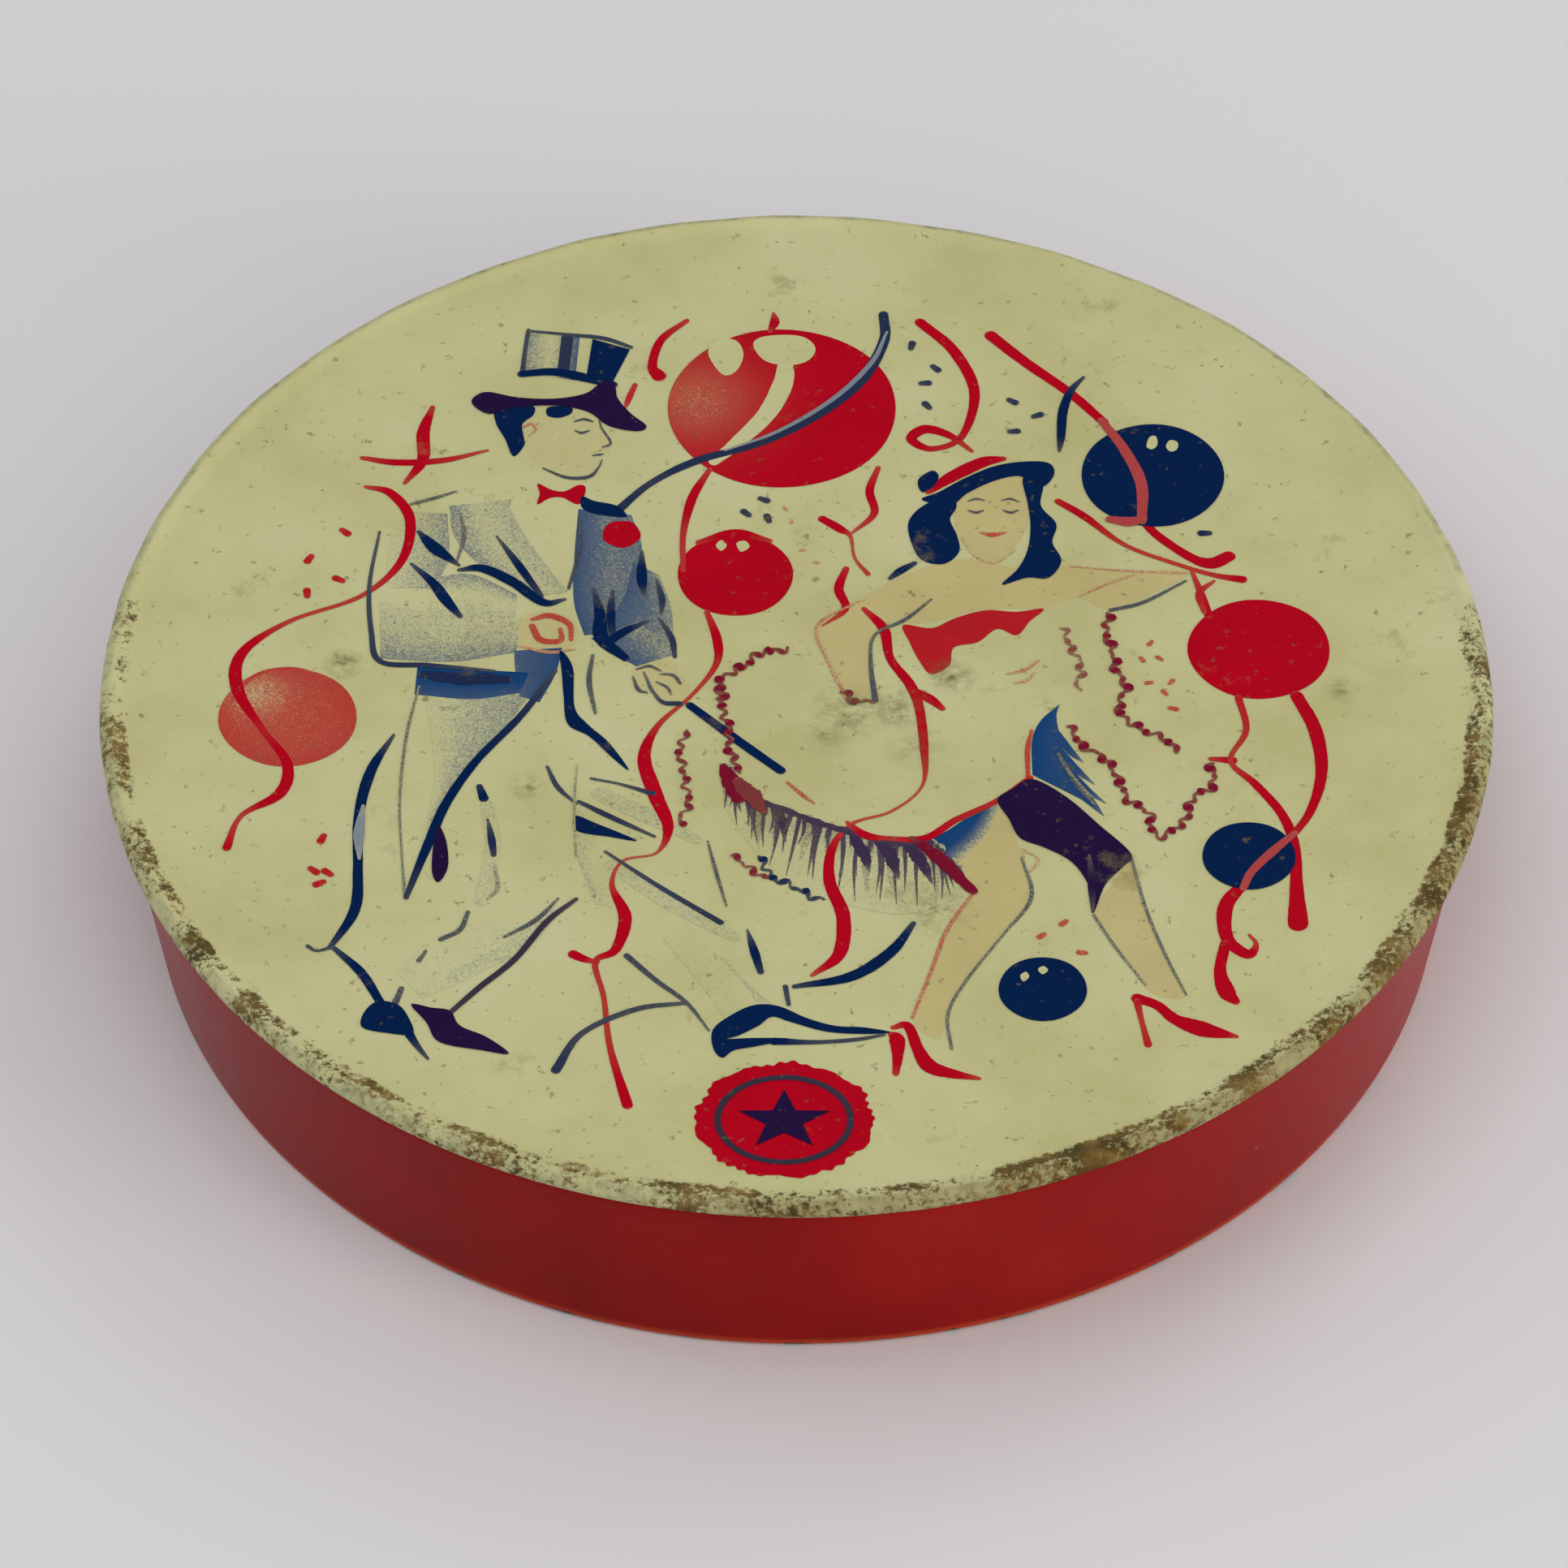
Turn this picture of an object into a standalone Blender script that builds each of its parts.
"""A flat round talcum powder tin: a red drawn pan, a printed plug lid, a sifter with a turning shutter and a puff.

Blender 4.5, metres, +Z up. The tin stands on Z = 0 with its axis on Z. Turned pieces are closed outlines
(radius, height) spun about Z; pierced pieces are turned, then cut with Boolean.
"""

import math

import bmesh
import bpy
from mathutils import Matrix

MM = 0.001
GAP = 0.3 * MM  # clear space kept between any two pieces

# Driving dimensions
LID_DIAMETER = 127.0 * MM
TIN_HEIGHT = 23.4 * MM
FOOT_DIAMETER = 118.0 * MM  # outside of the pan's wall at its bottom edge
SHEET = 0.4 * MM  # tinplate
BEAD = 1.0 * MM  # outer radius of the bead curled round the lid's edge
FOOT_ROUND = 0.8 * MM  # outer radius of the pan's bottom edge
SEGMENTS = 80  # sides of the large turned pieces

# Lid, worked out from the bead
LID_RADIUS = LID_DIAMETER / 2
BEAD_R = LID_RADIUS - BEAD
BEAD_Z = TIN_HEIGHT - BEAD
PANEL_TOP = TIN_HEIGHT - 0.3 * MM  # the panel lies just under the top of its bead
PANEL_UNDER = PANEL_TOP - SHEET

# Pan
FOOT_RADIUS = FOOT_DIAMETER / 2
MOUTH_TOP = BEAD_Z - BEAD - GAP
MOUTH_RADIUS = BEAD_R - 0.3 * MM  # outside of the wall at the mouth, tucked under the bead
WALL_SLOPE = (MOUTH_RADIUS - FOOT_RADIUS) / MOUTH_TOP
BOTTOM_STEP = 0.6 * MM  # the bottom's middle is pressed up by this much
STEP_RADIUS = 50.0 * MM
PAN_FLOOR = BOTTOM_STEP + SHEET

# Plug ring and liner
PLUG_DEPTH = 5.0 * MM
PLUG_FLANGE = 1.9 * MM
PLUG_TOP = PANEL_UNDER - GAP
PLUG_FOOT = PLUG_TOP - PLUG_DEPTH
PLUG_RADIUS = FOOT_RADIUS + WALL_SLOPE * PLUG_FOOT - SHEET - 1.5 * GAP  # slides inside the leaning wall
LINER_THICKNESS = 0.6 * MM

# Sifter, shutter and their rivet
SIFTER_TOP = 10.6 * MM
SHUTTER_RADIUS = 52.0 * MM
HOLE_RADIUS = 1.6 * MM
HOLE_RINGS = (14.0 * MM, 23.0 * MM, 32.0 * MM, 41.0 * MM)
HOLES_A_RING = 12
SHUTTER_TURN = math.pi / HOLES_A_RING  # half the hole pitch, from closed to open
TAB_WIDTH = 9.0 * MM
TAB_RISE = 4.2 * MM
TAB_FOOT = 5.5 * MM
RIVET_RADIUS = 1.5 * MM
RIVET_HEAD = 3.4 * MM
RIVET_HEAD_HEIGHT = 0.8 * MM
WASHER_THICKNESS = 0.5 * MM
SHUTTER_TOP = SIFTER_TOP + WASHER_THICKNESS + 2 * GAP + SHEET

# Puff
PUFF_LOW = SHUTTER_TOP + GAP + RIVET_HEAD_HEIGHT + GAP
PUFF_RADIUS = 42.0 * MM
PUFF_THICKNESS = 5.2 * MM
BACKING_RADIUS = 38.0 * MM
BACKING_THICKNESS = 1.1 * MM
RIBBON_LENGTH = 64.0 * MM
RIBBON_WIDTH = 16.0 * MM
RIBBON_THICKNESS = 0.6 * MM


def clear_scene():
    for found in list(bpy.data.objects):
        bpy.data.objects.remove(found, do_unlink=True)


def material(name, colour, roughness, metallic=0.0):
    """A Principled material, made once for each name."""
    made = bpy.data.materials.get(name) or bpy.data.materials.new(name)
    made.use_nodes = True
    shader = made.node_tree.nodes["Principled BSDF"]
    shader.inputs["Base Color"].default_value = (*colour, 1.0)
    shader.inputs["Roughness"].default_value = roughness
    shader.inputs["Metallic"].default_value = metallic
    return made


def wall_outside(height):
    """Outer radius of the pan's wall at a height."""
    return FOOT_RADIUS + WALL_SLOPE * height


def arc(centre, radius, start, end, steps):
    """Points (radius, height) on an arc about centre, from the start angle to the end angle in degrees."""
    angles = [math.radians(start + (end - start) * i / steps) for i in range(steps + 1)]
    return [(centre[0] + radius * math.cos(a), centre[1] + radius * math.sin(a)) for a in angles]


def add_object(name, mesh, finish):
    made = bpy.data.objects.new(name, mesh)
    bpy.context.scene.collection.objects.link(made)
    mesh.materials.append(finish)
    mesh.shade_smooth()
    mesh.set_sharp_from_angle(angle=math.radians(35))
    return made


def turned(name, outline, finish, segments=SEGMENTS):
    """A closed outline of (radius, height) points spun about Z. Points on the axis merge into poles."""
    shape = bmesh.new()
    ring = [shape.verts.new((max(r, 0.0), 0.0, z)) for r, z in outline]
    edges = []
    for here, there in zip(ring, ring[1:] + ring[:1]):
        on_axis = here.co.x < 1e-9 and there.co.x < 1e-9
        if not on_axis:
            edges.append(shape.edges.new((here, there)))
    bmesh.ops.spin(
        shape,
        geom=ring + edges,
        cent=(0, 0, 0),
        axis=(0, 0, 1),
        angle=math.tau,
        steps=segments,
        use_merge=True,
    )
    bmesh.ops.remove_doubles(shape, verts=shape.verts, dist=1e-7)
    bmesh.ops.recalc_face_normals(shape, faces=shape.faces)
    mesh = bpy.data.meshes.new(name)
    shape.to_mesh(mesh)
    shape.free()
    return add_object(name, mesh, finish)


def cylinder_into(shape, radius, low, high, place, sides):
    """Adds a closed upright cylinder to a bmesh."""
    middle = Matrix.Translation((place[0], place[1], (low + high) / 2))
    bmesh.ops.create_cone(
        shape,
        cap_ends=True,
        segments=sides,
        radius1=radius,
        radius2=radius,
        depth=high - low,
        matrix=middle,
    )


def pierce(target, name, low, high, first_angle):
    """Cuts the rings of sifting holes and the rivet's hole through a plate."""
    shape = bmesh.new()
    for ring in HOLE_RINGS:
        for i in range(HOLES_A_RING):
            angle = first_angle + math.tau * i / HOLES_A_RING
            place = (ring * math.cos(angle), ring * math.sin(angle))
            cylinder_into(shape, HOLE_RADIUS, low, high, place, 10)
    cylinder_into(shape, RIVET_RADIUS + GAP, low, high, (0, 0), 16)
    mesh = bpy.data.meshes.new(name)
    shape.to_mesh(mesh)
    shape.free()
    cutter = bpy.data.objects.new(name, mesh)
    bpy.context.scene.collection.objects.link(cutter)
    cutter.hide_render = True
    cutter.display_type = "WIRE"
    cut = target.modifiers.new("holes", "BOOLEAN")
    cut.operation = "DIFFERENCE"
    cut.solver = "EXACT"
    cut.object = cutter


def body_pan(finish):
    """Drawn in one piece: stepped bottom, rounded bottom edge, wall leaning out to the mouth."""
    inner_round = FOOT_ROUND - SHEET
    foot_centre = (wall_outside(FOOT_ROUND) - FOOT_ROUND, FOOT_ROUND)
    lip = SHEET / 2
    lip_centre = (MOUTH_RADIUS - lip, MOUTH_TOP - lip)
    outline = [(0.0, BOTTOM_STEP), (STEP_RADIUS, BOTTOM_STEP)]
    outline += [(STEP_RADIUS + 2 * BOTTOM_STEP, 0.0)]
    outline += arc(foot_centre, FOOT_ROUND, -90, 0, 4)
    outline += arc(lip_centre, lip, 0, 180, 4)
    outline += arc(foot_centre, inner_round, 0, -90, 3)
    outline += [(STEP_RADIUS + 2 * BOTTOM_STEP, SHEET), (STEP_RADIUS, PAN_FLOOR), (0.0, PAN_FLOOR)]
    return turned("body_pan", outline, finish)


def lid_panel(finish):
    """Flat disc whose edge rises into a bead and curls right round, under itself, leaving the curl open."""
    dip = BEAD_R - BEAD  # where the panel turns up into its bead
    outline = [(0.0, PANEL_TOP), (dip - 0.6 * MM, PANEL_TOP)]
    outline += arc((BEAD_R, BEAD_Z), BEAD, 112.5, -180, 13)
    outline += arc((BEAD_R, BEAD_Z), BEAD - SHEET, -180, 90, 12)
    outline += [(dip - 0.4 * MM, PANEL_UNDER), (0.0, PANEL_UNDER)]
    return turned("lid_panel", outline, finish)


def lid_plug_ring(finish):
    """L-section ring: a flange under the panel and a skirt down inside the mouth, its foot turned in."""
    turn = 0.5 * MM
    outline = [(PLUG_RADIUS - PLUG_FLANGE, PLUG_TOP)]
    outline += arc((PLUG_RADIUS - turn, PLUG_TOP - turn), turn, 90, 0, 2)
    outline += arc((PLUG_RADIUS - turn, PLUG_FOOT + turn), turn, 0, -90, 2)
    outline += [(PLUG_RADIUS - 2 * turn, PLUG_FOOT), (PLUG_RADIUS - 2 * turn, PLUG_FOOT + SHEET)]
    outline += [(PLUG_RADIUS - SHEET, PLUG_FOOT + turn + SHEET / 2), (PLUG_RADIUS - SHEET, PLUG_TOP - SHEET)]
    outline += [(PLUG_RADIUS - PLUG_FLANGE, PLUG_TOP - SHEET)]
    return turned("lid_plug_ring", outline, finish)


def lid_liner(finish):
    """Card disc held against the panel, inside the plug ring's flange."""
    radius = PLUG_RADIUS - PLUG_FLANGE - GAP
    low = PLUG_TOP - LINER_THICKNESS
    outline = [(0.0, PLUG_TOP), (radius, PLUG_TOP), (radius, low), (0.0, low)]
    return turned("lid_liner", outline, finish, 64)


def sifter_plate(finish):
    """Pierced plate with a skirt that stands on the pan's floor."""
    radius = FOOT_RADIUS - FOOT_ROUND - 0.6 * MM
    foot = SHEET + GAP
    turn = 0.8 * MM
    under = SIFTER_TOP - SHEET
    outline = [(0.0, SIFTER_TOP)]
    outline += arc((radius - turn, SIFTER_TOP - turn), turn, 90, 0, 3)
    outline += [(radius, foot), (radius - SHEET, foot)]
    outline += arc((radius - turn, SIFTER_TOP - turn), turn - SHEET, 0, 90, 2)
    outline += [(0.0, under)]
    plate = turned("sifter_plate", outline, finish, 72)
    pierce(plate, "sifter_hole_cutter", under - MM, SIFTER_TOP + MM, 0.0)
    return plate


def shutter_plate(finish):
    """Pierced disc over the sifter, its holes half a pitch round from the sifter's when closed."""
    outline = [(0.0, SHUTTER_TOP), (SHUTTER_RADIUS, SHUTTER_TOP)]
    outline += [(SHUTTER_RADIUS, SHUTTER_TOP - SHEET), (0.0, SHUTTER_TOP - SHEET)]
    plate = turned("shutter_plate", outline, finish, 72)
    pierce(plate, "shutter_hole_cutter", SHUTTER_TOP - SHEET - MM, SHUTTER_TOP + MM, SHUTTER_TURN)
    return plate


def shutter_tab(finish):
    """Finger tab for turning the shutter: a bent strip whose foot is soldered on the plate."""
    outer = SHUTTER_RADIUS - 1.0 * MM
    inner = outer - TAB_FOOT
    low = SHUTTER_TOP + GAP
    bend = 0.9 * MM
    corner = (outer - bend, low + bend)
    profile = [(inner, low)] + arc(corner, bend, -90, 0, 4)
    profile += [(outer, low + TAB_RISE), (outer - SHEET, low + TAB_RISE)]
    profile += arc(corner, bend - SHEET, 0, -90, 3) + [(inner, low + SHEET)]
    shape = bmesh.new()
    side = [shape.verts.new((x, -TAB_WIDTH / 2, z)) for x, z in profile]
    face = shape.faces.new(side)
    pushed = bmesh.ops.extrude_face_region(shape, geom=[face])
    moved = [v for v in pushed["geom"] if isinstance(v, bmesh.types.BMVert)]
    bmesh.ops.translate(shape, verts=moved, vec=(0, TAB_WIDTH, 0))
    bmesh.ops.recalc_face_normals(shape, faces=shape.faces)
    mesh = bpy.data.meshes.new("shutter_tab")
    shape.to_mesh(mesh)
    shape.free()
    return add_object("shutter_tab", mesh, finish)


def shutter_washer(finish):
    """Fibre washer that keeps the two plates apart."""
    low = SIFTER_TOP + GAP
    high = low + WASHER_THICKNESS
    inside = RIVET_RADIUS + GAP
    outside = 5.0 * MM
    outline = [(inside, high), (outside, high), (outside, low), (inside, low)]
    return turned("shutter_washer", outline, finish, 32)


def pivot_rivet(finish):
    """Shank through both plates with a domed head above and a spread tail below."""
    head_low = SHUTTER_TOP + GAP
    tail_high = SIFTER_TOP - SHEET - GAP
    dome = RIVET_HEAD_HEIGHT
    outline = [(0.0, head_low + dome), (0.45 * RIVET_HEAD, head_low + 0.92 * dome)]
    outline += [(0.8 * RIVET_HEAD, head_low + 0.62 * dome), (RIVET_HEAD, head_low)]
    outline += [(RIVET_RADIUS, head_low), (RIVET_RADIUS, tail_high)]
    outline += [(0.8 * RIVET_HEAD, tail_high), (0.6 * RIVET_HEAD, tail_high - 0.7 * dome)]
    outline += [(0.0, tail_high - 0.8 * dome)]
    return turned("pivot_rivet", outline, finish, 32)


def powder_fill(finish):
    """Settled powder inside the sifter's skirt."""
    radius = FOOT_RADIUS - FOOT_ROUND - 0.6 * MM - SHEET - 2 * GAP
    low = PAN_FLOOR + GAP
    high = 8.2 * MM
    soft = 1.0 * MM
    outline = [(0.0, high)] + arc((radius - soft, high - soft), soft, 90, 0, 3)
    outline += [(radius, low), (0.0, low)]
    return turned("powder_fill", outline, finish, 64)


def puff_pad(finish):
    """Round pad with full sides."""
    half = PUFF_THICKNESS / 2
    outline = [(0.0, PUFF_LOW + PUFF_THICKNESS)]
    outline += arc((PUFF_RADIUS - half, PUFF_LOW + half), half, 90, -90, 6)
    outline += [(0.0, PUFF_LOW)]
    return turned("puff_pad", outline, finish, 48)


def puff_backing(finish):
    """Slightly crowned satin disc on the pad."""
    low = PUFF_LOW + PUFF_THICKNESS + GAP
    outline = [(0.0, low + BACKING_THICKNESS), (0.6 * BACKING_RADIUS, low + 0.9 * BACKING_THICKNESS)]
    outline += [(0.95 * BACKING_RADIUS, low + 0.5 * BACKING_THICKNESS)]
    outline += [(BACKING_RADIUS, low + 0.2 * BACKING_THICKNESS), (BACKING_RADIUS, low), (0.0, low)]
    return turned("puff_backing", outline, finish, 48)


def puff_ribbon(finish):
    """Flat ribbon loop across the backing."""
    low = PUFF_LOW + PUFF_THICKNESS + BACKING_THICKNESS + 2 * GAP
    shape = bmesh.new()
    middle = Matrix.Translation((0, 0, low + RIBBON_THICKNESS / 2))
    size = Matrix.Diagonal((RIBBON_LENGTH, RIBBON_WIDTH, RIBBON_THICKNESS, 1.0))
    bmesh.ops.create_cube(shape, size=1.0, matrix=middle @ size)
    upright = [e for e in shape.edges if abs(e.verts[0].co.z - e.verts[1].co.z) > RIBBON_THICKNESS / 2]
    bmesh.ops.bevel(shape, geom=upright, offset=3.0 * MM, segments=3, affect="EDGES")
    mesh = bpy.data.meshes.new("puff_ribbon")
    shape.to_mesh(mesh)
    shape.free()
    return add_object("puff_ribbon", mesh, finish)


def build():
    clear_scene()
    red = material("red_enamel", (0.22, 0.005, 0.006), 0.28)
    cream = material("cream_litho", (0.55, 0.52, 0.26), 0.38)
    tin = material("bright_tinplate", (0.62, 0.61, 0.58), 0.32, 1.0)
    card = material("waxed_card", (0.60, 0.52, 0.38), 0.8)
    fibre = material("red_fibre", (0.20, 0.05, 0.03), 0.7)
    brass = material("brass", (0.60, 0.42, 0.16), 0.3, 1.0)
    talc = material("talc", (0.86, 0.85, 0.83), 0.95)
    velour = material("velour", (0.78, 0.62, 0.58), 0.95)
    satin = material("satin", (0.70, 0.42, 0.42), 0.35)

    body_pan(red)
    lid_panel(cream)
    lid_plug_ring(tin)
    lid_liner(card)
    powder_fill(talc)
    sifter_plate(tin)
    shutter_washer(fibre)
    shutter_plate(tin)
    shutter_tab(tin)
    pivot_rivet(brass)
    puff_pad(velour)
    puff_backing(satin)
    puff_ribbon(satin)


build()
